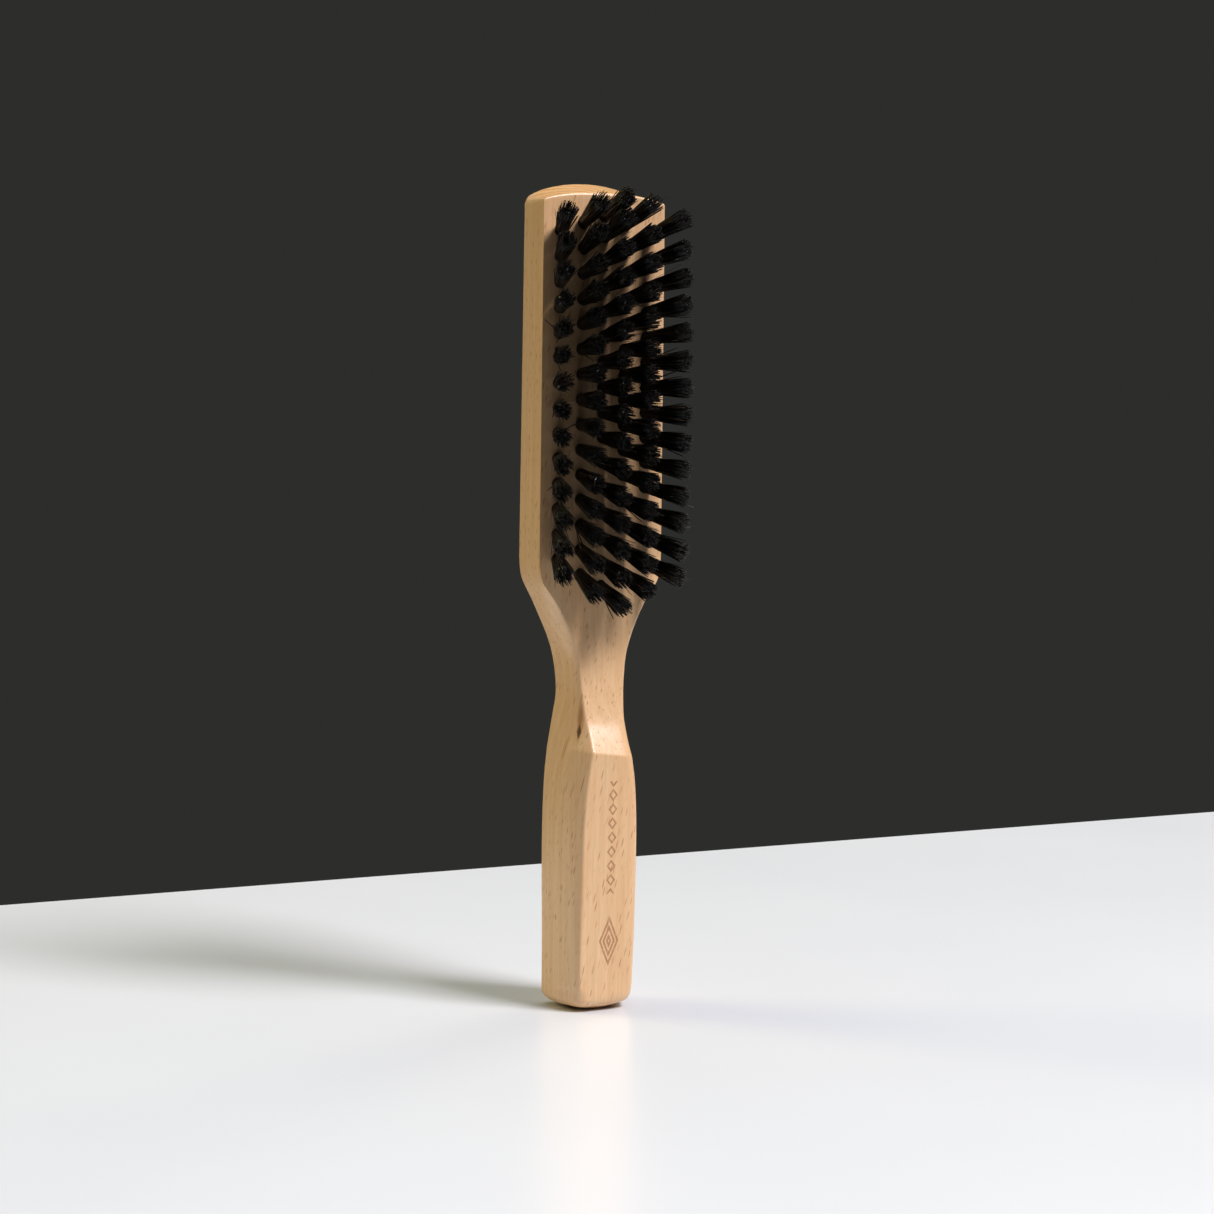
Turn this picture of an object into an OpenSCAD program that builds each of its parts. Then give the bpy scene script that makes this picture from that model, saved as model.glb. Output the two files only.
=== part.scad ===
// Beard brush: a one-piece beech stock with boar-bristle tufts, each held in a
// blind hole by a flat wire anchor. The stock stands on its butt with +Z along its
// length. The bristles face -Y. The origin is the centre of the butt's flat.

/* [Stock] */
// Overall length, from the butt to the top of the head
total_len = 180; // [165:1:195]
// Width of the head
head_w = 30; // [29:0.1:34]
// Thickness of the head at its top end
head_top_t = 9.8; // [9:0.1:12]
// Thickness of the head where it meets the shoulders
head_low_t = 10.4; // [9.8:0.1:13]
// Greatest width of the handle
handle_w = 18.4; // [16:0.2:22]
// Greatest thickness of the handle
handle_t = 17.4; // [15:0.2:19]
// Narrowest width of the neck
neck_w = 12.4; // [11:0.2:15]
// Lean of the side facets of the handle, from square to the front
facet_angle = 28; // [20:1:35]
// Chamfer along the back edges
back_chamfer = 1.8; // [0.5:0.1:3]

/* [Bristles] */
// Bristle rows across the head, counting the staggered ones
rows = 31; // [21:2:35]
// Distance along the head between one hole and the next in a column
row_pitch = 5.4; // [5.1:0.1:5.6]
// Distance of the inner columns from the middle one
inner_x = 5.1; // [4.8:0.1:5.4]
// Distance of the outer columns from the middle one
outer_x = 10.6; // [10.2:0.1:10.8]
// Height of the middle of the bristle field
field_mid = 133.2; // [130:0.2:136]
// Diameter of each drilled hole
hole_d = 2.7; // [2.5:0.1:2.9]
// Depth of each hole, along its own axis
hole_depth = 6; // [5:0.1:6.4]
// Trimmed height of the bristles above the wood
bristle_h = 10.6; // [7:0.1:13]
// Diameter of a tuft where it splays at its tip
tip_d = 4.3; // [3.4:0.1:4.4]
// Lean of the last row down along the head, and of the first row up before its flare
fan_along = 20; // [0:1:22]
// Extra upward lean of the first row
first_flare = 6; // [0:1:7]
// Lean of the inner columns to the sides
inner_lean = 9.5; // [0:0.5:12]
// Lean of the outer columns to the sides
outer_lean = 23.5; // [12:0.5:24]

/* [Anchors] */
// Length of the flat wire anchor, wider than the hole so that its ends bite the wood
anchor_len = 3.4; // [3.2:0.1:3.6]
// Height of the anchor, along the hole
anchor_h = 1.5; // [1:0.1:2]
// Thickness of the wire
anchor_t = 0.35; // [0.3:0.05:0.5]

/* [Hidden] */
ROW_NAMES = [for (r = [1:rows]) str("tuft_row_", r < 10 ? "0" : "", r)];
COLUMNS = [-2, -1, 0, 1, 2];
COLUMN_NAMES = [for (c = COLUMNS) str("anchors_column_", c + 3)];

fn_hole = 24;
fn_arch = 180;
wide = 60;
clear = 1;
eps = 0.01;
back_y = 7.8;
handle_front = handle_t - back_y;
head_low_front = head_low_t - back_y;
head_top_front = head_top_t - back_y;
ramp_foot_z = 56.7;
facet_end_z = 91;
shoulder_z = 99;
blank_top_z = total_len + 5;

// Stations up the stock, each [height, half width, half width of the front facet,
// distance of the front surface forward of the Y axis].
HANDLE = [
    [3.4, handle_w / 2, handle_w / 2 - 2.9, handle_front - 2],
    [20, handle_w / 2 - 0.1, handle_w / 2 - 2.7, handle_front - 1.35],
    [39, handle_w / 2, handle_w / 2 - 2.7, handle_front - 0.7],
    [50, handle_w / 2 - 0.3, handle_w / 2 - 3.3, handle_front - 0.3],
    [ramp_foot_z, handle_w / 2 - 0.9, handle_w / 2 - 4.3, handle_front],
];
NECK = [
    [ramp_foot_z, handle_w / 2 - 0.9, handle_w / 2 - 4.3, handle_front],
    [60, handle_w / 2 - 1.45, handle_w / 2 - 4.45, handle_front - 1.8],
    [64, neck_w / 2 + 0.85, neck_w / 2 - 1.4, head_low_front + 3.3],
    [68.5, neck_w / 2 + 0.05, neck_w / 2 - 1.1, head_low_front + 2.15],
    [72.7, neck_w / 2 + 0.1, neck_w / 2 - 0.85, head_low_front + 1.5],
    [77.6, neck_w / 2 + 0.8, neck_w / 2 - 0.25, head_low_front + 1.15],
    [81.5, neck_w / 2 + 2, neck_w / 2 + 0.95, head_low_front + 0.95],
    [85.5, neck_w / 2 + 3.75, neck_w / 2 + 2.7, head_low_front + 0.65],
    [89.7, head_w / 2 - 3.05, head_w / 2 - 3.75, head_low_front + 0.35],
    [93.6, head_w / 2 - 0.95, head_w / 2 - 0.95, head_low_front + 0.1],
    [96, head_w / 2 - 0.25, head_w / 2 - 0.25, head_low_front],
    [shoulder_z, head_w / 2, head_w / 2, head_low_front],
];

// A point on the smooth curve through the stations p, a share t of the way from
// station i to the next one.
function station(p, i) = p[max(0, min(len(p) - 1, i))];
function slope(p, i) = (station(p, i + 1) - station(p, i - 1)) / 2;
function on_curve(p, i, t) =
    p[i] * (2 * pow(t, 3) - 3 * pow(t, 2) + 1)
    + slope(p, i) * (pow(t, 3) - 2 * pow(t, 2) + t)
    + p[i + 1] * (3 * pow(t, 2) - 2 * pow(t, 3))
    + slope(p, i + 1) * (pow(t, 3) - pow(t, 2));
function curve(p, steps) = [
    for (i = [0:len(p) - 2]) for (k = [0:steps - 1]) on_curve(p, i, k / steps)
];

curve_steps = 2;
BODY = concat(curve(HANDLE, curve_steps), curve(NECK, curve_steps), [NECK[len(NECK) - 1]]);

// The butt: a flat to stand on, then a quarter ellipse up to the side of the stock.
foot_side_rise = HANDLE[0][0];
foot_front_rise = 2.2;
foot_step = 15;
function foot_curve(flat, out, rise) = [
    for (a = [0:foot_step:90 - foot_step]) [flat + (out - flat) * sin(a), rise * (1 - cos(a))]
];

// Half of the front outline, from the middle of the butt up to the head's corner.
foot_flat_w = 5;
head_taper = 0.25;
function outline_half() = concat(
    foot_curve(foot_flat_w, HANDLE[0][1], foot_side_rise),
    [for (s = BODY) [s[1], s[0]]],
    [[head_w / 2 - head_taper, blank_top_z]]
);

module mirrored_outline(half) {
    back = [for (i = [len(half) - 1:-1:0]) [-half[i][0], half[i][1]]];
    polygon(concat(half, back));
}

// Draws a shape in the XZ plane through the whole depth of the stock.
module through_y() {
    rotate([90, 0, 0])
        linear_extrude(2 * wide, center = true) children();
}

module front_outline() {
    through_y() mirrored_outline(outline_half());
}

// The side profile, drawn in the YZ plane and extruded along X.
foot_flat_front = 5;
foot_flat_back = 5;
butt_back_y = back_y - 0.8;
handle_back_z = 30;
module side_profile() {
    front = concat(
        foot_curve(foot_flat_front, HANDLE[0][3], foot_front_rise),
        [for (s = BODY) [s[3], s[0]]],
        [[head_top_front, blank_top_z]]
    );
    heel = foot_curve(foot_flat_back, butt_back_y, foot_side_rise);
    back = concat(
        [[-back_y, blank_top_z], [-back_y, handle_back_z], [-butt_back_y, foot_side_rise]],
        [for (i = [len(heel) - 1:-1:0]) [-heel[i][0], heel[i][1]]]
    );
    rotate([90, 0, -90])
        linear_extrude(2 * wide, center = true) polygon(concat(front, back));
}

// One side facet of the handle: everything inside a ruled surface that leans in
// towards the front. It meets the front surface at the edge of the front facet,
// and stays clear of the head.
module side_facet(side) {
    edge = [
        for (s = BODY) if (s[0] < facet_end_z)
            [s[2] * cos(facet_angle) + s[3] * sin(facet_angle), s[0]]
    ];
    inside = [
        [wide, facet_end_z + clear], [wide, blank_top_z], [-wide, blank_top_z],
        [-wide, -clear], [edge[0][0], -clear]
    ];
    rotate([0, 0, -side * facet_angle])
        mirror([side > 0 ? 0 : 1, 0, 0])
            through_y() polygon(concat(edge, inside));
}

// Cuts the back corners off the stock along its whole length, at 45 degrees.
module back_edge(side) {
    edge = [for (p = outline_half()) [(p[0] + back_y - back_chamfer) * cos(45), p[1]]];
    inside = [[-wide, blank_top_z], [-wide, 0]];
    rotate([0, 0, side * 45])
        mirror([side > 0 ? 0 : 1, 0, 0])
            through_y() polygon(concat(edge, inside));
}

// The top end of the head: a shallow arch across, a little lower at the front.
arch_rise = 3.6;
arch_tilt = 14;
arch_r = (pow(head_w / 2, 2) + pow(arch_rise, 2)) / (2 * arch_rise);
arch_block_top = total_len - arch_r / 2;
module top_arch() {
    translate([0, back_y, total_len])
        rotate([arch_tilt, 0, 0])
            translate([0, 0, -arch_r])
                rotate([90, 0, 0])
                    cylinder(r = arch_r, h = 2 * wide, center = true, $fn = fn_arch);
    translate([-wide, -wide, -wide])
        cube([2 * wide, 2 * wide, wide + arch_block_top]);
}

module blank() {
    intersection() {
        front_outline();
        side_profile();
        side_facet(1);
        side_facet(-1);
        back_edge(1);
        back_edge(-1);
        top_arch();
    }
}

// Height of row r on the staggered grid, and the columns that it has. Odd rows have
// three tufts, and even rows two. The first and the last row have the middle one only.
function row_z(r) = field_mid + ((rows + 1) / 2 - r) * row_pitch / 2;
function row_columns(r) =
    r == 1 || r == rows ? [0] : r % 2 == 1 ? [-2, 0, 2] : [-1, 1];
function face_y(z) =
    -head_low_front
    + (head_low_front - head_top_front) * (z - shoulder_z) / (blank_top_z - shoulder_z);

// Where a tuft stands. The first one is set in from the grid, away from the rounded
// end, and one outer column is drilled a little higher than the grid.
first_set_in = 1.1;
outer_rise = 0.8;
function tuft_x(c) = abs(c) == 2 ? sign(c) * outer_x : c * inner_x;
function tuft_z(r, c) = row_z(r) - (r == 1 ? first_set_in : 0) + (c == -2 ? outer_rise : 0);

// The fan: tufts lean out along the head in proportion to their distance from its
// middle, with a flare at the first rows. To the sides they lean least at both ends.
end_ease = 0.25;
function share(r) = ((rows + 1) / 2 - r) / ((rows - 1) / 2);
// The first tuft of all leans no more than the plain fan.
function lean_along(r) = fan_along * share(r) + (r > 1 ? first_flare * pow(max(0, share(r)), 4) : 0);
function lean_across(r, c) =
    sign(c) * (abs(c) == 2 ? outer_lean : abs(c) * inner_lean)
    * (1 - end_ease * pow(share(r), 2));
function bristle_way(r, c) = [tan(lean_across(r, c)), -1, tan(lean_along(r))];

// Puts a child on the wood at row r and column c, with its +Z along the bristles.
module at_tuft(r, c) {
    way = bristle_way(r, c);
    translate([tuft_x(c), face_y(tuft_z(r, c)), tuft_z(r, c)])
        rotate([0, acos(way[2] / norm(way)), atan2(way[1], way[0])])
            children();
}

anchor_z = 0.6 - hole_depth;
module anchor() {
    translate([-anchor_len / 2, -anchor_t / 2, anchor_z])
        cube([anchor_len, anchor_t, anchor_h]);
}

module drilled_hole() {
    translate([0, 0, -hole_depth])
        cylinder(d = hole_d, h = hole_depth + 2 * clear, $fn = fn_hole);
}

module stock() {
    color("burlywood")
        difference() {
            blank();
            for (r = [1:rows]) for (c = row_columns(r)) at_tuft(r, c) {
                drilled_hole();
                anchor();
            }
        }
}

// One bundle of bristles: a root packed in the hole and folded round its anchor,
// and a cone above the wood that splays to the trimmed tip.
module tuft(r, c) {
    tip = bristle_h * norm(bristle_way(r, c));
    difference() {
        union() {
            translate([0, 0, -hole_depth])
                cylinder(d = hole_d, h = hole_depth + eps, $fn = fn_hole);
            cylinder(d1 = hole_d, d2 = tip_d, h = tip, $fn = fn_hole);
        }
        anchor();
    }
}

module tuft_row(r) {
    color("black")
        for (c = row_columns(r)) at_tuft(r, c) tuft(r, c);
}

module anchors_column(c) {
    color("silver")
        for (r = [1:rows]) if (len(search(c, row_columns(r))) > 0) at_tuft(r, c) anchor();
}

stock();
for (r = [1:rows]) tuft_row(r);
for (c = COLUMNS) anchors_column(c);
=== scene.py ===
"""Beard brush: a one-piece beech stock with black boar-bristle tufts.

Lengths are in millimetres until to_metres() or MM turns them into metres. Those of the lights
are in metres.
"""

import math

import bmesh
import bpy
import numpy as np
from mathutils import Matrix, Vector


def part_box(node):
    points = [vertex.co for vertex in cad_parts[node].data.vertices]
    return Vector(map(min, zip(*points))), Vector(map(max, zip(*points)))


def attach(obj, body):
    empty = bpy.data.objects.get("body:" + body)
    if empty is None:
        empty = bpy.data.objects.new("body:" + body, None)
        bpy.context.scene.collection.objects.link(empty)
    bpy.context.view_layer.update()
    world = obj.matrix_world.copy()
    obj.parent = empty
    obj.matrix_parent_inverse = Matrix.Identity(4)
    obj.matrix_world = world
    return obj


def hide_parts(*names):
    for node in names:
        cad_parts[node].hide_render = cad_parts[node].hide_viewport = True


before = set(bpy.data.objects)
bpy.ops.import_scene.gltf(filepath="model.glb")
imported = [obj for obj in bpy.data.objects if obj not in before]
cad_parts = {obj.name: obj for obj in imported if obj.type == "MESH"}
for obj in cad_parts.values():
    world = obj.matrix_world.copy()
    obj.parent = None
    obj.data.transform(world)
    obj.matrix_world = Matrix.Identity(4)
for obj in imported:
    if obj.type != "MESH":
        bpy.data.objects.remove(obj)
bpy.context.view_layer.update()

MM = 0.001
SEED = 20
STOCK_LOW, STOCK_HIGH = (np.array(corner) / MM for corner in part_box("stock"))

# ---------------------------------------------------------------- driving dimensions

TOTAL_LEN = STOCK_HIGH[2]
BACK_Y = STOCK_HIGH[1]
HANDLE_FRONT = -STOCK_LOW[1]
HEAD_HALF = STOCK_HIGH[0]
HANDLE_HALF = 9.2
NECK_HALF = 6.2
HEAD_LOW_FRONT = 2.6
HEAD_TOP_FRONT = 2.0
RAMP_FOOT_Z = 56.7
SHOULDER_Z = 99.0
BLANK_TOP_Z = TOTAL_LEN + 5

ROWS = sum(name.startswith("tuft_row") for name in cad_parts)
ROW_PITCH = 5.4
INNER_X = 5.1
OUTER_X = 10.6
FIELD_MID = 133.2
FIRST_SET_IN = 1.1
OUTER_RISE = 0.8
HOLE_R = 1.35
HOLE_DEPTH = 6.0
BRISTLE_H = 10.6
TIP_R = 2.15
FAN_ALONG = 20
FIRST_FLARE = 6
INNER_LEAN = 9.5
OUTER_LEAN = 23.5
END_EASE = 0.25

# Stations up the stock: height, half width, half width of the front facet, and how
# far the front surface lies forward of the Y axis.
HANDLE = np.array(
    [
        [3.4, HANDLE_HALF, HANDLE_HALF - 2.9, HANDLE_FRONT - 2],
        [20, HANDLE_HALF - 0.1, HANDLE_HALF - 2.7, HANDLE_FRONT - 1.35],
        [39, HANDLE_HALF, HANDLE_HALF - 2.7, HANDLE_FRONT - 0.7],
        [50, HANDLE_HALF - 0.3, HANDLE_HALF - 3.3, HANDLE_FRONT - 0.3],
        [RAMP_FOOT_Z, HANDLE_HALF - 0.9, HANDLE_HALF - 4.3, HANDLE_FRONT],
    ]
)
NECK = np.array(
    [
        [RAMP_FOOT_Z, HANDLE_HALF - 0.9, HANDLE_HALF - 4.3, HANDLE_FRONT],
        [60, HANDLE_HALF - 1.45, HANDLE_HALF - 4.45, HANDLE_FRONT - 1.8],
        [64, NECK_HALF + 0.85, NECK_HALF - 1.4, HEAD_LOW_FRONT + 3.3],
        [68.5, NECK_HALF + 0.05, NECK_HALF - 1.1, HEAD_LOW_FRONT + 2.15],
        [72.7, NECK_HALF + 0.1, NECK_HALF - 0.85, HEAD_LOW_FRONT + 1.5],
        [77.6, NECK_HALF + 0.8, NECK_HALF - 0.25, HEAD_LOW_FRONT + 1.15],
        [81.5, NECK_HALF + 2, NECK_HALF + 0.95, HEAD_LOW_FRONT + 0.95],
        [85.5, NECK_HALF + 3.75, NECK_HALF + 2.7, HEAD_LOW_FRONT + 0.65],
        [89.7, HEAD_HALF - 3.05, HEAD_HALF - 3.75, HEAD_LOW_FRONT + 0.35],
        [93.6, HEAD_HALF - 0.95, HEAD_HALF - 0.95, HEAD_LOW_FRONT + 0.1],
        [96, HEAD_HALF - 0.25, HEAD_HALF - 0.25, HEAD_LOW_FRONT],
        [SHOULDER_Z, HEAD_HALF, HEAD_HALF, HEAD_LOW_FRONT],
    ]
)
HEAD_END = [BLANK_TOP_Z, HEAD_HALF - 0.25, HEAD_HALF - 0.25, HEAD_TOP_FRONT]


def smooth_curve(stations, steps=24):
    """Points on the cubic curve through the stations, as in the CAD part."""
    last = len(stations) - 1
    slopes = [
        (stations[min(i + 1, last)] - stations[max(i - 1, 0)]) / 2 for i in range(last + 1)
    ]
    points = []
    for i in range(last):
        for t in np.linspace(0, 1, steps, endpoint=False):
            points.append(
                stations[i] * (2 * t**3 - 3 * t**2 + 1)
                + slopes[i] * (t**3 - 2 * t**2 + t)
                + stations[i + 1] * (3 * t**2 - 2 * t**3)
                + slopes[i + 1] * (t**3 - t**2)
            )
    return points


PROFILE = np.array(smooth_curve(HANDLE) + smooth_curve(NECK) + [NECK[-1], HEAD_END])


def station_at(z, blur=0.0):
    """Half width, front facet's half width and front depth at height z, averaged over 2 * blur."""
    heights = z + np.linspace(-blur, blur, 9)
    return [np.interp(heights, PROFILE[:, 0], PROFILE[:, k]).mean() for k in (1, 2, 3)]


def between(low, high, share):
    return low + (high - low) * share


def blend(z, low, high):
    """0 below low, 1 above high, smooth between."""
    t = min(1.0, max(0.0, (z - low) / (high - low)))
    return t * t * (3 - 2 * t)


# ---------------------------------------------------------------- mesh helpers

CORNER_STEPS = 5


def new_object(name, verts, faces):
    mesh = bpy.data.meshes.new(name)
    mesh.from_pydata([tuple(v) for v in verts], [], [tuple(f) for f in faces])
    mesh.update()
    obj = bpy.data.objects.new(name, mesh)
    bpy.context.scene.collection.objects.link(obj)
    return obj


def to_metres(obj):
    obj.data.transform(Matrix.Scale(MM, 4))


def joined(pieces):
    """The vertices and faces of several pieces as one list of each."""
    points, cells, total = [], [], 0
    for verts, faces in pieces:
        points.append(verts)
        cells += [tuple(i + total for i in face) for face in faces]
        total += len(verts)
    return np.concatenate(points), cells


def band(a, count):
    """Faces between the ring of vertices that starts at a and the ring after it."""
    b = a + count
    return [(a + i, a + (i + 1) % count, b + (i + 1) % count, b + i) for i in range(count)]


def closed_skin(rings, bottom, top):
    """The vertices and faces of a surface through rings of points, with a point at each end."""
    count = len(rings[0])
    last = (len(rings) - 1) * count
    verts = [*(point for ring in rings for point in ring), bottom, top]
    faces = []
    for a in range(0, last, count):
        faces += band(a, count)
    for i in range(count):
        j = (i + 1) % count
        faces.append((len(verts) - 2, j, i))
        faces.append((len(verts) - 1, last + i, last + j))
    return np.array(verts), faces


def bent_line(start, pull, end, shares):
    """Points on the curve from start to end that is bent towards pull."""
    return [start * (1 - t) ** 2 + pull * 2 * t * (1 - t) + end * t**2 for t in shares]


def rounded_corner(corner, before, after, radius):
    """Points of a small round at a corner, from the direction of before to that of after."""
    a = corner + (before - corner) / np.linalg.norm(before - corner) * radius
    b = corner + (after - corner) / np.linalg.norm(after - corner) * radius
    return bent_line(a, corner, b, np.linspace(0, 1, CORNER_STEPS))


def smooth_by_angle(obj, degrees):
    obj.data.shade_smooth()
    obj.data.set_sharp_from_angle(angle=math.radians(degrees))


# ---------------------------------------------------------------- the stock's cross-section

# The stations are averaged over this much height, up and down. It wears the arrises
# that run across.
BLUR = 0.35
CRISP_ARRIS = 0.45
SOFT_ARRIS = 1.7
SOFT_FADE = (62, 76)
RIGHT_FULLER = 0.07
FULLER_FADE = (8, 60)
HANDLE_BACK_R, HEAD_BACK_R = 2.8, 1.0
BACK_R_FADE = (62, 92)
BUTT_BACK_IN = 0.8
BUTT_BACK_FADE = (0, 30)
# How far behind the front surface the side facet's pull point and its end lie: so much
# for each millimetre that the facet leans in, and so much more.
FACET_PULL = (1.3, 0.4)
FACET_END = (3, 2.5)
LEAST_SIDE = 0.5
# Share of the side facet's curve that an arris leaves out, and how much more a wide one does.
FACET_START = 0.12
WIDE_START = 0.5
WIDE_ARRIS = 1.2
FRONT_STEPS = 12
SIDE_STEPS = 14
BACK_STEPS = 8
REAR_STEPS = 6


def half_section(z, arris_r):
    """One side of the section at height z, from the middle of the front to the middle of the back."""
    half, front_half, front = station_at(z, BLUR)
    front_half = min(front_half, half)
    back = BACK_Y - BUTT_BACK_IN * (1 - blend(z, *BUTT_BACK_FADE))
    back_r = between(HANDLE_BACK_R, HEAD_BACK_R, blend(z, *BACK_R_FADE))

    # The side facet bends from the front facet's corner to the widest point.
    inset = half - front_half
    pull_y, end_y = (-front + slope * inset + least for slope, least in (FACET_PULL, FACET_END))
    corner, pull = np.array([front_half, -front]), np.array([half, pull_y])
    widest = np.array([half, min(end_y, back - back_r - LEAST_SIDE)])
    start = FACET_START + WIDE_START * blend(arris_r, CRISP_ARRIS, WIDE_ARRIS) * min(1, inset)
    side = bent_line(corner, pull, widest, np.linspace(start, 1, SIDE_STEPS))

    arris_r = min(arris_r, np.linalg.norm(side[0] - corner) - 0.05)
    arris = rounded_corner(corner, np.array([0, -front]), side[0], arris_r)
    front_xs = np.linspace(0, arris[0][0], FRONT_STEPS, endpoint=False)
    line = [np.array([x, -front]) for x in front_xs]
    turn = [
        np.array([half - back_r + back_r * math.cos(a), back - back_r + back_r * math.sin(a)])
        for a in np.linspace(0, math.pi / 2, BACK_STEPS)
    ]
    rear = [np.array([x, back]) for x in np.linspace(turn[-1][0], 0, REAR_STEPS)[1:]]
    return line + arris + side + turn + rear


def full_section(z, worn=0.0):
    """The whole section. On the handle the right side is fuller and its arris softer.

    No arris is crisper than a radius of worn.
    """
    soft = between(CRISP_ARRIS, SOFT_ARRIS, 1 - blend(z, *SOFT_FADE))
    fuller = 1 + RIGHT_FULLER * (1 - blend(z, *FULLER_FADE))
    right = [p * [fuller, 1] for p in half_section(z, max(soft, worn))]
    left = [np.array([-p[0], p[1]]) for p in half_section(z, max(CRISP_ARRIS, worn))[-2:0:-1]]
    return np.array(right + left)


# ---------------------------------------------------------------- the butt

BUTT_TOP = 5.8
BUTT_ARRIS = 2.0
BUTT_RIM = 3.5
BUTT_RIM_RISE = 1.5
BUTT_RIM_FADE = (0, 7.5)
# How far the dome goes out and up, as shares of the way from the flat to the rim.
BUTT_DOME = (0.7, 0.3)
BUTT_FLAT_MID = np.array([0, -0.3])
BUTT_FLAT_HALF = np.array([4.4, 3.8])


def butt_rise(x):
    """Height of the butt's rim, where the sides begin to turn in. It is higher on the right."""
    return BUTT_RIM + BUTT_RIM_RISE * blend(x, *BUTT_RIM_FADE)


def butt_flat(point):
    """The point of the butt's oval flat that lies towards a point of the section."""
    out = point - BUTT_FLAT_MID
    return BUTT_FLAT_MID + out / math.hypot(*(out / BUTT_FLAT_HALF))


def butt_profile():
    """Shares of the way out and up, from the flat to the sides: a shallow dome, then a rounded rim."""
    edge, rise = BUTT_DOME
    dome = [(edge * t, rise * t) for t in np.linspace(0, 1, 4)]
    first = math.atan2(rise * (1 - edge), edge * (1 - rise))
    sin0, cos0 = math.sin(first), math.cos(first)
    rim = [
        (
            between(edge, 1, (math.sin(a) - sin0) / (1 - sin0)),
            between(rise, 1, (cos0 - math.cos(a)) / cos0),
        )
        for a in np.linspace(first, math.pi / 2, 9)[1:]
    ]
    return dome + rim


def butt_rings():
    """Rings from the middle of the flat up to the first plain section."""
    foot, rim = full_section(BUTT_TOP), full_section(BUTT_TOP, BUTT_ARRIS)
    rises = [butt_rise(p[0]) for p in rim]
    flat = np.array([butt_flat(p) for p in rim])
    rings = [[(*p, 0.0) for p in between(BUTT_FLAT_MID, flat, 0.5)]]
    for out, up in butt_profile():
        rings.append([(*p, rise * up) for p, rise in zip(between(flat, rim, out), rises)])
    for share in (0.25, 0.5, 0.75, 1.0):
        ring = between(rim, foot, share)
        rings.append([(*p, between(rise, BUTT_TOP, share)) for p, rise in zip(ring, rises)])
    return rings


# ---------------------------------------------------------------- the end of the head

END_SECTION_Z = 175
END_START_Z = 172
END_EDGE_R = 0.55
END_MIDDLE = np.array([0.0, 3.0])
END_FRONT_DROP = 2.5
END_FRONT_FALL = 1.7
END_BACK_FALL = 3.4
END_CORNER_FALL = 1.8


def end_height(x, y):
    """The domed end of the head: higher at the back, and lower towards the corners."""
    u = min(1.0, abs(x) / HEAD_HALF)
    front = TOTAL_LEN - END_FRONT_DROP - END_FRONT_FALL * u**2.5
    back = TOTAL_LEN - END_BACK_FALL * u**2 - END_CORNER_FALL * u**14
    t = min(1.0, max(0.0, (y + HEAD_TOP_FRONT) / (BACK_Y + HEAD_TOP_FRONT)))
    return between(front, back, t)


def end_rings():
    """Rings up the last of the sides, over a small rounded edge, and in over the end."""
    section = full_section(END_SECTION_Z)
    rings = []
    for share in (0.0, 0.5, 0.85):
        rings.append([(*p, between(END_START_Z, end_height(*p) - END_EDGE_R, share)) for p in section])
    inward = (section - END_MIDDLE) / np.linalg.norm(section - END_MIDDLE, axis=1)[:, None]
    for a in np.linspace(0, math.pi / 2, 6):
        ring = section - inward * END_EDGE_R * (1 - math.cos(a))
        rings.append([(*p, end_height(*p) - END_EDGE_R * (1 - math.sin(a))) for p in ring])
    base = section - inward * END_EDGE_R
    for share in (0.93, 0.84, 0.72, 0.58, 0.42, 0.26, 0.12):
        ring = between(END_MIDDLE, base, share)
        rings.append([(*p, end_height(*p)) for p in ring])
    return rings


# ---------------------------------------------------------------- the stock

FOOT_SLANT = 0.13
FOOT_PIVOT_X = -1
FOOT_REACH = 5
FOOT_FRONT_FADE = (2, 6)


def slanted(point, z):
    """The foot of the ramp isn't quite square: it sits a little lower on the right."""
    nearness = math.exp(-(((z - RAMP_FOOT_Z) / FOOT_REACH) ** 2)) * blend(-point[1], *FOOT_FRONT_FADE)
    return (*point, z - FOOT_SLANT * (point[0] - FOOT_PIVOT_X) * nearness)


def plain_levels():
    """Heights of the plain sections. They are closest together at the foot of the ramp."""
    return np.concatenate(
        [
            np.arange(BUTT_TOP + 1, RAMP_FOOT_Z - 2, 2.0),
            np.arange(RAMP_FOOT_Z - 1.4, RAMP_FOOT_Z - 0.5, 0.3),
            np.arange(RAMP_FOOT_Z - 0.5, RAMP_FOOT_Z + 0.5, 0.1),
            np.arange(RAMP_FOOT_Z + 0.6, SHOULDER_Z + 2, 0.7),
            np.arange(SHOULDER_Z + 4, END_START_Z - 1, 8.0),
        ]
    )


def build_stock():
    plain = [[slanted(p, z) for p in full_section(z)] for z in plain_levels()]
    rings = butt_rings() + plain + end_rings()
    bottom, top = (*BUTT_FLAT_MID, 0), (*END_MIDDLE, end_height(*END_MIDDLE))
    return new_object("beech_stock", *closed_skin(rings, bottom, top))


# ---------------------------------------------------------------- where the tufts are


def row_columns(row):
    """Odd rows have three tufts and even rows two; the first and the last have one."""
    if row in (1, ROWS):
        return [0]
    return [-2, 0, 2] if row % 2 else [-1, 1]


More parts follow.
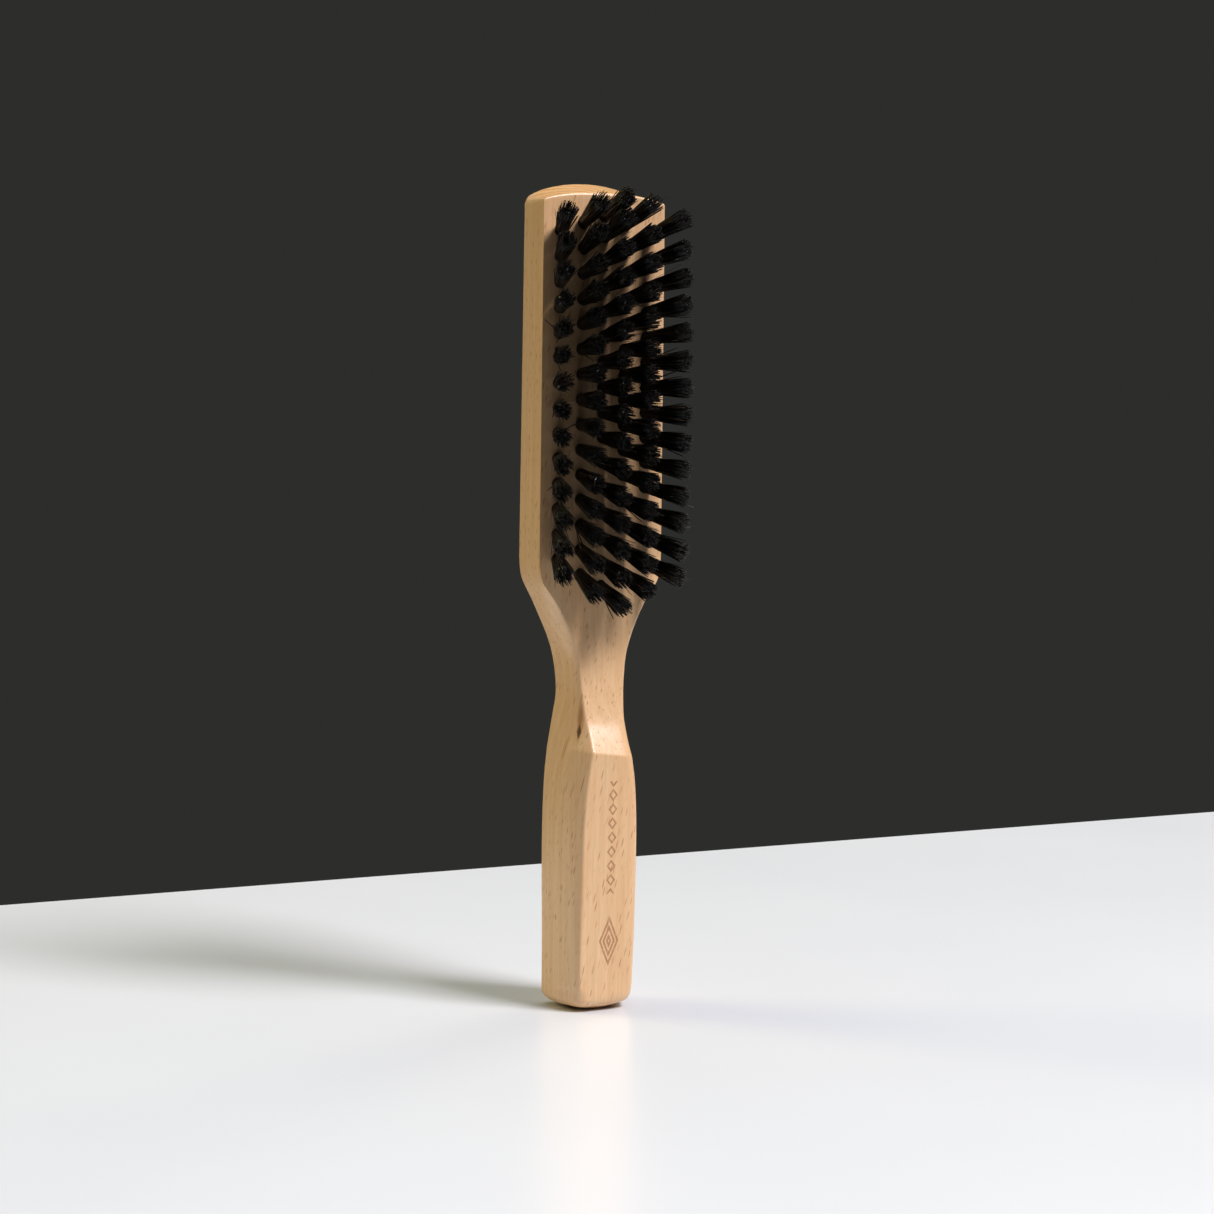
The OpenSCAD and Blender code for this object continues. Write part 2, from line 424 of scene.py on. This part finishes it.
def tuft_frame(row, column):
    """The tuft's root on the wood and its direction."""
    share = ((ROWS + 1) / 2 - row) / ((ROWS - 1) / 2)
    z = FIELD_MID + ((ROWS + 1) / 2 - row) * ROW_PITCH / 2
    z += OUTER_RISE if column == -2 else 0
    z -= FIRST_SET_IN if row == 1 else 0
    side = (column > 0) - (column < 0)
    x = side * OUTER_X if abs(column) == 2 else column * INNER_X
    lean = side * (OUTER_LEAN if abs(column) == 2 else abs(column) * INNER_LEAN)
    across = math.radians(lean * (1 - END_EASE * share**2))
    flare = FIRST_FLARE * max(0, share) ** 4 if row > 1 else 0
    along = math.radians(FAN_ALONG * share + flare)
    way = np.array([math.tan(across), -1.0, math.tan(along)])
    return np.array([x, -station_at(z)[2], z]), way / np.linalg.norm(way)


def basis(way):
    """Two directions square to way and to each other."""
    side = np.cross(way, [0, 0, 1])
    side /= np.linalg.norm(side)
    return side, np.cross(side, way)


def circle(way, sides, turn=0.0):
    """Points of a circle of radius 1 about the origin, square to way."""
    side, up = basis(way)
    angles = turn + 2 * math.pi * np.arange(sides) / sides
    return np.outer(np.cos(angles), side) + np.outer(np.sin(angles), up)


# ---------------------------------------------------------------- drilled holes

HOLE_SIDES = 28
# Radius and height of the drill, from the bottom of the hole to well above its eased mouth.
DRILL = [
    (HOLE_R, -HOLE_DEPTH),
    (HOLE_R, -0.12),
    (HOLE_R + 0.1, 0.02),
    (HOLE_R + 0.25, 1.6),
]


def drill(row, column):
    """The solid that one tuft's hole takes out of the wood, as vertices and faces."""
    root, way = tuft_frame(row, column)
    around = circle(way, HOLE_SIDES)
    rings = [root + way * height + around * radius for radius, height in DRILL]
    return closed_skin(rings, root + way * DRILL[0][1], root + way * DRILL[-1][1])


def drill_holes(stock):
    drills = [drill(row, column) for row in range(1, ROWS + 1) for column in row_columns(row)]
    cutter = new_object("cutter", *joined(drills))
    bm = bmesh.new()
    bm.from_mesh(cutter.data)
    bmesh.ops.recalc_face_normals(bm, faces=bm.faces)
    bm.to_mesh(cutter.data)
    bm.free()
    cut = stock.modifiers.new("holes", "BOOLEAN")
    cut.operation, cut.object, cut.solver = "DIFFERENCE", cutter, "EXACT"
    bpy.context.view_layer.update()
    depsgraph = bpy.context.evaluated_depsgraph_get()
    drilled = bpy.data.meshes.new_from_object(stock.evaluated_get(depsgraph))
    stock.modifiers.clear()
    stock.data = drilled
    bpy.data.objects.remove(cutter)


# ---------------------------------------------------------------- bristles

BRISTLES, BRISTLE_SIDES, BRISTLE_POINTS = 132, 4, 5
FLAG_HAIRS, FLAG_SIDES, FLAG_POINTS = 54, 3, 4
BRISTLE_R = (0.115, 0.155)
FLAG_R = 0.055
TAPER = ([0, 0.5, 1], [0.9, 1, 0.62])
BLUNT_TIP = 0.7
BURIED = 2.0
BUNDLE_R = HOLE_R - 0.13
SPLAY_POWER = 0.95

# The random draws: a pair is a mean and a spread, or a least and a greatest value.
CLUMPS, CLUMPING = 5, 0.09
TIP_GROWTH = (0.1, 0.07)
TUFT_LEAN = 0.14
TIP_SCATTER = 0.09
BEND = 0.1
LENGTH_EXTRA = (0.1, 0.16)
FLAG_EXTRA = 0.5
TRIM_DOME = 0.3
CUT_SHORT = (-0.9, 0.8)
STRAY_SHARE, STRAY_SCATTER = 0.02, 1.1

PLUG_SIDES = 16
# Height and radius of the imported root, from the bottom of the hole.
PLUG = [
    (-HOLE_DEPTH, 0.7),
    (0.5 - HOLE_DEPTH, 1.2),
    (-0.3, 1.2),
    (2.5, 1.3),
    (6.0, 1.5),
    (8.4, 1.5),
    (9.2, 1.0),
]


def strand(path, radii, sides, twist):
    """A closed tube along path with a short blunt tip, as vertices and faces."""
    tangent = path[-1] - path[0]
    tangent /= np.linalg.norm(tangent)
    around = circle(tangent, sides, twist)
    rings = [point + around * radius for point, radius in zip(path, radii)]
    verts = np.concatenate(rings + [[path[-1] + tangent * radii[-1] * BLUNT_TIP]])
    last = (len(path) - 1) * sides
    faces = [tuple(range(sides - 1, -1, -1))]
    for a in range(0, last, sides):
        faces += band(a, sides)
    for i in range(sides):
        faces.append((last + i, last + (i + 1) % sides, last + sides))
    return verts, faces


def bristle_path(root, way, at, out, length, bend, steps):
    """Points from inside the hole to the tip. at is the place in the hole, and out the place at the tip."""
    side, up = basis(way)
    s = np.linspace(0, 1, steps)
    along = s * (length + BURIED) - BURIED
    spread = np.clip(along / length, 0, 1) ** SPLAY_POWER
    offset = np.outer(1 - spread, at) + np.outer(spread, out) + np.outer(s**2, bend)
    return root + np.outer(along, way) + np.outer(offset[:, 0], side) + np.outer(offset[:, 1], up)


def tuft_strands(row, column, rng):
    """One tuft: its bristles, and then the finer hairs that their split tips make."""
    root, way = tuft_frame(row, column)
    full = BRISTLE_H / -way[1]
    lean = rng.normal(0, TUFT_LEAN, 2)
    clump = rng.uniform(0, 2 * math.pi)
    strands = []
    for k in range(BRISTLES + FLAG_HAIRS):
        flag = k >= BRISTLES
        rho = math.sqrt(rng.uniform(0.02, 1))
        theta = rng.uniform(0, 2 * math.pi)
        theta += CLUMPING * math.sin(CLUMPS * theta + clump)
        place = np.array([math.cos(theta), math.sin(theta)]) * rho
        out = place * (TIP_R + rng.normal(*TIP_GROWTH)) + lean + rng.normal(0, TIP_SCATTER, 2)
        extra = rng.uniform(0.0, FLAG_EXTRA) if flag else rng.normal(*LENGTH_EXTRA)
        length = full + extra - TRIM_DOME * rho**2
        length -= max(0.0, rng.normal(*CUT_SHORT))
        bend = rng.normal(0, BEND, 2)
        if rng.uniform() < STRAY_SHARE:
            out = out + rng.normal(0, STRAY_SCATTER, 2)
        steps = FLAG_POINTS if flag else BRISTLE_POINTS
        path = bristle_path(root, way, place * BUNDLE_R, out, length, bend, steps)
        thick = FLAG_R if flag else rng.uniform(*BRISTLE_R)
        radii = thick * np.interp(np.linspace(0, 1, steps), *TAPER)
        sides = FLAG_SIDES if flag else BRISTLE_SIDES
        strands.append(strand(path, radii, sides, rng.uniform(0, 3)))
    return strands


def root_plug(row, column):
    """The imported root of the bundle: a dark solid from the hole's bottom, hidden among the bristles."""
    root, way = tuft_frame(row, column)
    path = np.array([root + way * height for height, _ in PLUG])
    return strand(path, [radius for _, radius in PLUG], PLUG_SIDES, 0.0)


def build_tuft_row(row):
    """All the tufts of one row. Each strand gets a tint of its own, from 0 to 1."""
    rng = np.random.default_rng(SEED + row)
    strands, tints = [], []
    for column in row_columns(row):
        tuft = tuft_strands(row, column, rng) + [root_plug(row, column)]
        strands += tuft
        tints += [rng.uniform() for _ in tuft]
    obj = new_object(f"bristles_row_{row:02d}", *joined(strands))
    tint = obj.data.attributes.new("tint", "FLOAT", "POINT")
    per_point = np.repeat(tints, [len(verts) for verts, _ in strands])
    tint.data.foreach_set("value", per_point.astype(np.float32))
    obj.data.shade_smooth()
    return obj


# ---------------------------------------------------------------- material helpers


class Nodes:
    """Short calls for building one material's node tree."""

    def __init__(self, name):
        self.material = bpy.data.materials.new(name)
        self.material.use_nodes = True
        self.tree = self.material.node_tree
        self.tree.nodes.clear()
        self.shader = self.add("ShaderNodeBsdfPrincipled")
        output = self.add("ShaderNodeOutputMaterial")
        self.link(self.shader.outputs[0], output.inputs["Surface"])

    def add(self, kind, **settings):
        node = self.tree.nodes.new(kind)
        for key, value in settings.items():
            setattr(node, key, value)
        return node

    def link(self, a, b):
        self.tree.links.new(a, b)

    def feed(self, value, socket):
        """Links value to the socket if it is another socket, or else sets the socket to it."""
        if isinstance(value, (int, float, tuple)):
            socket.default_value = value
        else:
            self.link(value, socket)

    def math(self, operation, a, b=0.0):
        node = self.add("ShaderNodeMath", operation=operation)
        self.feed(a, node.inputs[0])
        self.feed(b, node.inputs[1])
        return node.outputs[0]

    def millimetres(self):
        """Object coordinates in millimetres, and their three parts."""
        coordinates = self.add("ShaderNodeTexCoord").outputs["Object"]
        scaled = self.add("ShaderNodeVectorMath", operation="SCALE")
        self.link(coordinates, scaled.inputs[0])
        scaled.inputs["Scale"].default_value = 1 / MM
        parts = self.add("ShaderNodeSeparateXYZ")
        self.link(scaled.outputs[0], parts.inputs[0])
        return scaled.outputs[0], *parts.outputs

    def stretched(self, vector, scale):
        mapping = self.add("ShaderNodeMapping")
        mapping.inputs["Scale"].default_value = scale
        self.link(vector, mapping.inputs["Vector"])
        return mapping.outputs[0]

    def noise(self, vector, scale=1.0, detail=2.0, roughness=0.5):
        node = self.add("ShaderNodeTexNoise")
        self.link(vector, node.inputs["Vector"])
        node.inputs["Scale"].default_value = scale
        node.inputs["Detail"].default_value = detail
        node.inputs["Roughness"].default_value = roughness
        return node.outputs["Fac"]

    def ramp(self, value, low, high, at_low=0.0, at_high=1.0):
        """A smooth step of value from low to high."""
        node = self.add("ShaderNodeMapRange", interpolation_type="SMOOTHSTEP")
        self.feed(value, node.inputs["Value"])
        node.inputs["From Min"].default_value = low
        node.inputs["From Max"].default_value = high
        node.inputs["To Min"].default_value = at_low
        node.inputs["To Max"].default_value = at_high
        return node.outputs["Result"]

    def mix(self, share, a, b):
        """Colour a, with the given share of colour b."""
        node = self.add("ShaderNodeMix", data_type="RGBA")
        self.feed(share, node.inputs[0])
        self.feed(a, node.inputs[6])
        self.feed(b, node.inputs[7])
        return node.outputs[2]

    def set(self, **values):
        for key, value in values.items():
            self.feed(value, self.shader.inputs[key.replace("_", " ")])

    def bump(self, height, strength, distance):
        node = self.add("ShaderNodeBump")
        node.inputs["Strength"].default_value = strength
        node.inputs["Distance"].default_value = distance * MM
        self.link(height, node.inputs["Height"])
        self.link(node.outputs[0], self.shader.inputs["Normal"])


def srgb(red, green, blue):
    """A display colour from 0 to 255 as the linear values that a shader takes."""
    channels = [c / 255 for c in (red, green, blue)]
    return tuple(
        c / 12.92 if c <= 0.04045 else ((c + 0.055) / 1.055) ** 2.4 for c in channels
    ) + (1.0,)


# ---------------------------------------------------------------- beech

FIBRE_TURN = (math.radians(8.5), math.radians(12.5), 0.0)
KNOT = (-6.0, -4.95, 61.4)
STREAK_LEAN = (0.163, 0.114)
MARK_X = 0.4
MARK_FRONT_Y = -6.4
MARK_EDGE = 0.2
CHAIN_LOW, CHAIN_HIGH = 26.0, 51.0
CHAIN_LINKS = 8
LINK_HALF = (1.1, 1.4)
MOTIF_MID = 15.6
MOTIF_HALF = (2.6, 6.0)
MOTIF_RINGS = 3.0


def flecks(n, vector, cell, radius, bare):
    """Short dark flecks: long thin cells along the fibres, seen where the surface cuts them.

    bare is the share of the cells that show none.
    """
    turned = n.add("ShaderNodeMapping", vector_type="TEXTURE")
    turned.inputs["Rotation"].default_value = FIBRE_TURN
    turned.inputs["Scale"].default_value = cell
    n.link(vector, turned.inputs["Vector"])
    cells = n.add("ShaderNodeTexVoronoi", feature="F1", distance="EUCLIDEAN")
    n.link(turned.outputs[0], cells.inputs["Vector"])
    cells.inputs["Scale"].default_value = 1.0
    shown = n.ramp(cells.outputs["Distance"], radius * 0.5, radius, 1.0, 0.0)
    lucky = n.add("ShaderNodeSeparateColor")
    n.link(cells.outputs["Color"], lucky.inputs[0])
    return n.math("MULTIPLY", shown, n.ramp(lucky.outputs[0], bare, 1.0))


def burned_mark(n, x, y, z):
    """A plain burned ornament on the front facet: a chain of lozenges above a nested one."""
    across = n.math("ABSOLUTE", n.math("SUBTRACT", x, MARK_X))
    pitch = (CHAIN_HIGH - CHAIN_LOW) / CHAIN_LINKS
    local = n.math("PINGPONG", n.math("SUBTRACT", z, CHAIN_LOW), pitch / 2)
    link = n.math("ADD", n.math("DIVIDE", across, LINK_HALF[0]), n.math("DIVIDE", local, LINK_HALF[1]))
    outline = n.math("MULTIPLY", n.ramp(link, 0.5, 0.6), n.ramp(link, 0.96, 1.04, 1.0, 0.0))
    below = n.ramp(z, CHAIN_HIGH - MARK_EDGE, CHAIN_HIGH, 1.0, 0.0)
    inside = n.math("MULTIPLY", n.ramp(z, CHAIN_LOW, CHAIN_LOW + MARK_EDGE), below)
    chain_mark = n.math("MULTIPLY", outline, inside)

    rise = n.math("ABSOLUTE", n.math("SUBTRACT", z, MOTIF_MID))
    motif = n.math("ADD", n.math("DIVIDE", across, MOTIF_HALF[0]), n.math("DIVIDE", rise, MOTIF_HALF[1]))
    rings = n.math("PINGPONG", n.math("MULTIPLY", motif, MOTIF_RINGS), 0.5)
    ring_mark = n.math("MULTIPLY", n.ramp(rings, 0.16, 0.26), n.ramp(motif, 0.98, 1.02, 1.0, 0.0))

    both = n.math("MAXIMUM", chain_mark, ring_mark)
    return n.math("MULTIPLY", both, n.ramp(y, MARK_FRONT_Y - MARK_EDGE, MARK_FRONT_Y, 1.0, 0.0))


def beech():
    n = Nodes("beech")
    vector, x, y, z = n.millimetres()

    # Growth rings: layers that cross the front face as faint lines and the end as bands.
    warp = n.noise(n.stretched(vector, (0.05, 0.05, 0.012)), detail=3.0)
    layer = n.math("ADD", n.math("MULTIPLY", x, 0.62), n.math("MULTIPLY", y, 0.78))
    layer = n.math("ADD", layer, n.math("MULTIPLY", warp, 9.0))
    ring = n.ramp(n.math("PINGPONG", n.math("MULTIPLY", layer, 0.42), 0.5), 0.0, 0.5)
    streak = n.noise(n.stretched(vector, (1.6, 1.6, 0.03)), detail=4.0, roughness=0.6)
    broad = n.noise(n.stretched(vector, (0.12, 0.12, 0.02)), detail=2.0)
    fine = n.noise(n.stretched(vector, (7.0, 7.0, 0.35)), detail=3.0, roughness=0.7)

    normal = n.add("ShaderNodeSeparateXYZ")
    n.link(n.add("ShaderNodeNewGeometry").outputs["Normal"], normal.inputs[0])
    end_grain = n.ramp(n.math("ABSOLUTE", normal.outputs["Z"]), 0.75, 0.95)

    pale, tan = srgb(226, 190, 148), srgb(215, 176, 132)
    colour = n.mix(n.ramp(streak, 0.3, 0.72), pale, tan)
    colour = n.mix(n.math("MULTIPLY", ring, 0.16), colour, srgb(204, 152, 104))
    colour = n.mix(n.ramp(broad, 0.35, 0.75, 0.0, 0.35), colour, srgb(222, 172, 120))
    end_band = n.mix(ring, srgb(222, 176, 116), srgb(190, 138, 80))
    colour = n.mix(n.math("MULTIPLY", end_grain, 0.8), colour, end_band)
    colour = n.mix(n.ramp(fine, 0.45, 0.8, 0.0, 0.16), colour, srgb(176, 126, 82))

    dark = flecks(n, vector, (0.62, 0.62, 13.0), 0.3, 0.0)
    small = flecks(n, vector, (0.42, 0.42, 6.0), 0.25, 0.2)
    fleck = n.math("MAXIMUM", dark, n.math("MULTIPLY", small, 0.55))
    fleck = n.math("MULTIPLY", fleck, n.math("SUBTRACT", 1.0, end_grain))
    colour = n.mix(n.math("MULTIPLY", fleck, 0.68), colour, srgb(158, 100, 54))

    # One small knot on the left side of the neck, in a brown streak that goes on above it.
    up = n.math("SUBTRACT", z, KNOT[2])
    aside = [
        n.math("SUBTRACT", n.math("SUBTRACT", part, middle), n.math("MULTIPLY", up, turn))
        for part, middle, turn in zip((x, y), KNOT, STREAK_LEAN)
    ]
    flat = n.math("SQRT", n.math("ADD", n.math("POWER", aside[0], 2.0), n.math("POWER", aside[1], 2.0)))
    heart = n.math("ADD", n.math("DIVIDE", flat, 0.75), n.math("DIVIDE", n.math("ABSOLUTE", up), 2.1))
    tail = n.math("DIVIDE", n.math("ABSOLUTE", n.math("SUBTRACT", up, 3.0)), 9.0)
    tail = n.math("ADD", n.math("DIVIDE", flat, 1.2), tail)
    colour = n.mix(n.ramp(tail, 0.2, 1.1, 0.7, 0.0), colour, srgb(158, 92, 26))
    colour = n.mix(n.ramp(heart, 0.55, 1.1, 0.95, 0.0), colour, srgb(84, 40, 14))

    mark = burned_mark(n, x, y, z)
    patchy = n.noise(n.stretched(vector, (3.0, 3.0, 1.5)), detail=3.0)
    mark = n.math("MULTIPLY", mark, n.ramp(patchy, 0.3, 0.6, 0.55, 1.0))
    colour = n.mix(n.math("MULTIPLY", mark, 0.85), colour, srgb(158, 106, 66))

    n.set(Base_Color=colour, IOR=1.5, Coat_Weight=0.3, Coat_Roughness=0.18)
    rough = n.math("ADD", n.ramp(streak, 0.3, 0.7, 0.36, 0.44), n.math("MULTIPLY", fine, 0.06))
    rough = n.math("ADD", rough, n.math("MULTIPLY", mark, 0.2))
    n.link(rough, n.shader.inputs["Roughness"])
    height = n.math("SUBTRACT", n.math("MULTIPLY", fine, 0.35), n.math("MULTIPLY", fleck, 0.15))
    height = n.math("SUBTRACT", height, n.math("MULTIPLY", mark, 0.8))
    n.bump(height, 0.35, 0.12)
    return n.material


# ---------------------------------------------------------------- other materials


def boar_bristle():
    n = Nodes("boar_bristle")
    vector, _, _, _ = n.millimetres()
    tint = n.add("ShaderNodeAttribute", attribute_name="tint").outputs["Fac"]
    along = n.noise(n.stretched(vector, (2.5, 1.2, 2.5)), detail=2.0)
    colour = n.mix(n.ramp(tint, 0.1, 0.9), srgb(6, 5, 5), srgb(15, 13, 12))
    colour = n.mix(n.ramp(tint, 0.95, 0.98, 0.0, 0.8), colour, srgb(62, 42, 28))
    colour = n.mix(n.ramp(along, 0.4, 0.8, 0.0, 0.3), colour, srgb(24, 20, 18))
    n.set(Base_Color=colour, IOR=1.5, Specular_IOR_Level=0.32)
    n.link(n.ramp(along, 0.3, 0.7, 0.28, 0.42), n.shader.inputs["Roughness"])
    n.bump(n.noise(vector, scale=9.0), 0.25, 0.03)
    return n.material


def flat_wire():
    n = Nodes("flat_wire")
    vector, _, _, _ = n.millimetres()
    drawn = n.noise(n.stretched(vector, (14.0, 14.0, 1.2)), detail=3.0)
    n.set(Metallic=1.0)
    n.link(n.mix(drawn, srgb(150, 148, 142), srgb(196, 194, 186)), n.shader.inputs["Base Color"])
    n.link(n.ramp(drawn, 0.3, 0.7, 0.28, 0.45), n.shader.inputs["Roughness"])
    n.bump(drawn, 0.2, 0.02)
    return n.material


def gloss_white():
    n = Nodes("table_white")
    vector, _, _, _ = n.millimetres()
    cloudy = n.noise(n.stretched(vector, (0.01, 0.01, 0.01)))
    n.link(n.mix(cloudy, srgb(217, 223, 234), srgb(224, 230, 240)), n.shader.inputs["Base Color"])
    n.set(Roughness=0.28)
    return n.material


# ---------------------------------------------------------------- stage, lights and camera

CAMERA_AT = Vector((-294.8, -548.0, 140.0)) * MM
CAMERA_AZIMUTH, CAMERA_TILT, CAMERA_ROLL = (math.radians(a) for a in (-28.53, 4.77, 0.9))
CAMERA_LENS = 84.8
TABLE_LOW, TABLE_HIGH = (-300, -215), (420, 164)
TABLE_GAP = 0.05
ROOM_COLOUR = (0.026, 0.027, 0.025, 1)

# Name, place and size in metres, power in watts, and colour. Each light faces LIGHT_AIM.
LIGHT_AIM = Vector((0.0, 0.0, 0.1))
LIGHTS = [
    ("key", (0.78, -1.25, 2.00), (0.8, 0.7), 66.0, (1.0, 0.95, 0.93)),
    ("window", (0.98, -1.30, 1.45), (0.34, 0.34), 7.5, (1.0, 0.86, 0.94)),
    ("left_back", (-1.35, 1.20, 1.15), (0.9, 0.9), 18.0, (1.0, 0.85, 0.40)),
    ("right_back", (1.60, 0.80, 1.10), (0.7, 0.7), 8.0, (1.0, 0.90, 0.68)),
    ("overhead", (0.1, 0.6, 2.2), (2.2, 1.8), 17.0, (0.96, 1.0, 1.0)),
]


def add_camera():
    data = bpy.data.cameras.new("camera")
    data.lens, data.sensor_width = CAMERA_LENS, 36.0
    data.clip_start, data.clip_end = 0.01, 20.0
    camera = bpy.data.objects.new("camera", data)
    bpy.context.scene.collection.objects.link(camera)
    turn = (
        Matrix.Rotation(CAMERA_AZIMUTH, 4, "Z")
        @ Matrix.Rotation(math.pi / 2 - CAMERA_TILT, 4, "X")
        @ Matrix.Rotation(CAMERA_ROLL, 4, "Z")
    )
    camera.matrix_world = Matrix.Translation(CAMERA_AT) @ turn
    bpy.context.scene.camera = camera


def add_light(name, place, size, power, colour):
    data = bpy.data.lights.new(name, "AREA")
    data.shape, data.size, data.size_y = "RECTANGLE", *size
    data.energy, data.color = power, colour
    light = bpy.data.objects.new(name, data)
    light.location = place
    light.rotation_euler = (LIGHT_AIM - Vector(place)).to_track_quat("-Z", "Y").to_euler()
    bpy.context.scene.collection.objects.link(light)


def add_table():
    (x0, y0), (x1, y1) = TABLE_LOW, TABLE_HIGH
    corners = [(x * MM, y * MM, -TABLE_GAP * MM) for x, y in ((x0, y0), (x1, y0), (x1, y1), (x0, y1))]
    table = new_object("floor", corners, [(0, 1, 2, 3)])
    table.data.materials.append(gloss_white())


def light_scene():
    """A dim room, and the lights in it."""
    world = bpy.data.worlds.new("dim_room")
    world.use_nodes = True
    world.node_tree.nodes["Background"].inputs["Color"].default_value = ROOM_COLOUR
    bpy.context.scene.world = world
    bpy.context.scene.view_settings.view_transform = "Standard"
    for light in LIGHTS:
        add_light(*light)


# ---------------------------------------------------------------- put together


def finish_piece(obj, material, slot, *nodes):
    to_metres(obj)
    obj.data.materials.append(material)
    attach(obj, "root")
    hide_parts(*nodes)


add_camera()
add_table()
light_scene()

stock = build_stock()
drill_holes(stock)
smooth_by_angle(stock, 28)
finish_piece(stock, beech(), "beech", "stock")

bristle_material = boar_bristle()
for row in range(1, ROWS + 1):
    finish_piece(build_tuft_row(row), bristle_material, "bristle", f"tuft_row_{row:02d}")

wire = flat_wire()
for name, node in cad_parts.items():
    if name.startswith("anchors_column"):
        for material_slot in node.material_slots:
            material_slot.material = wire
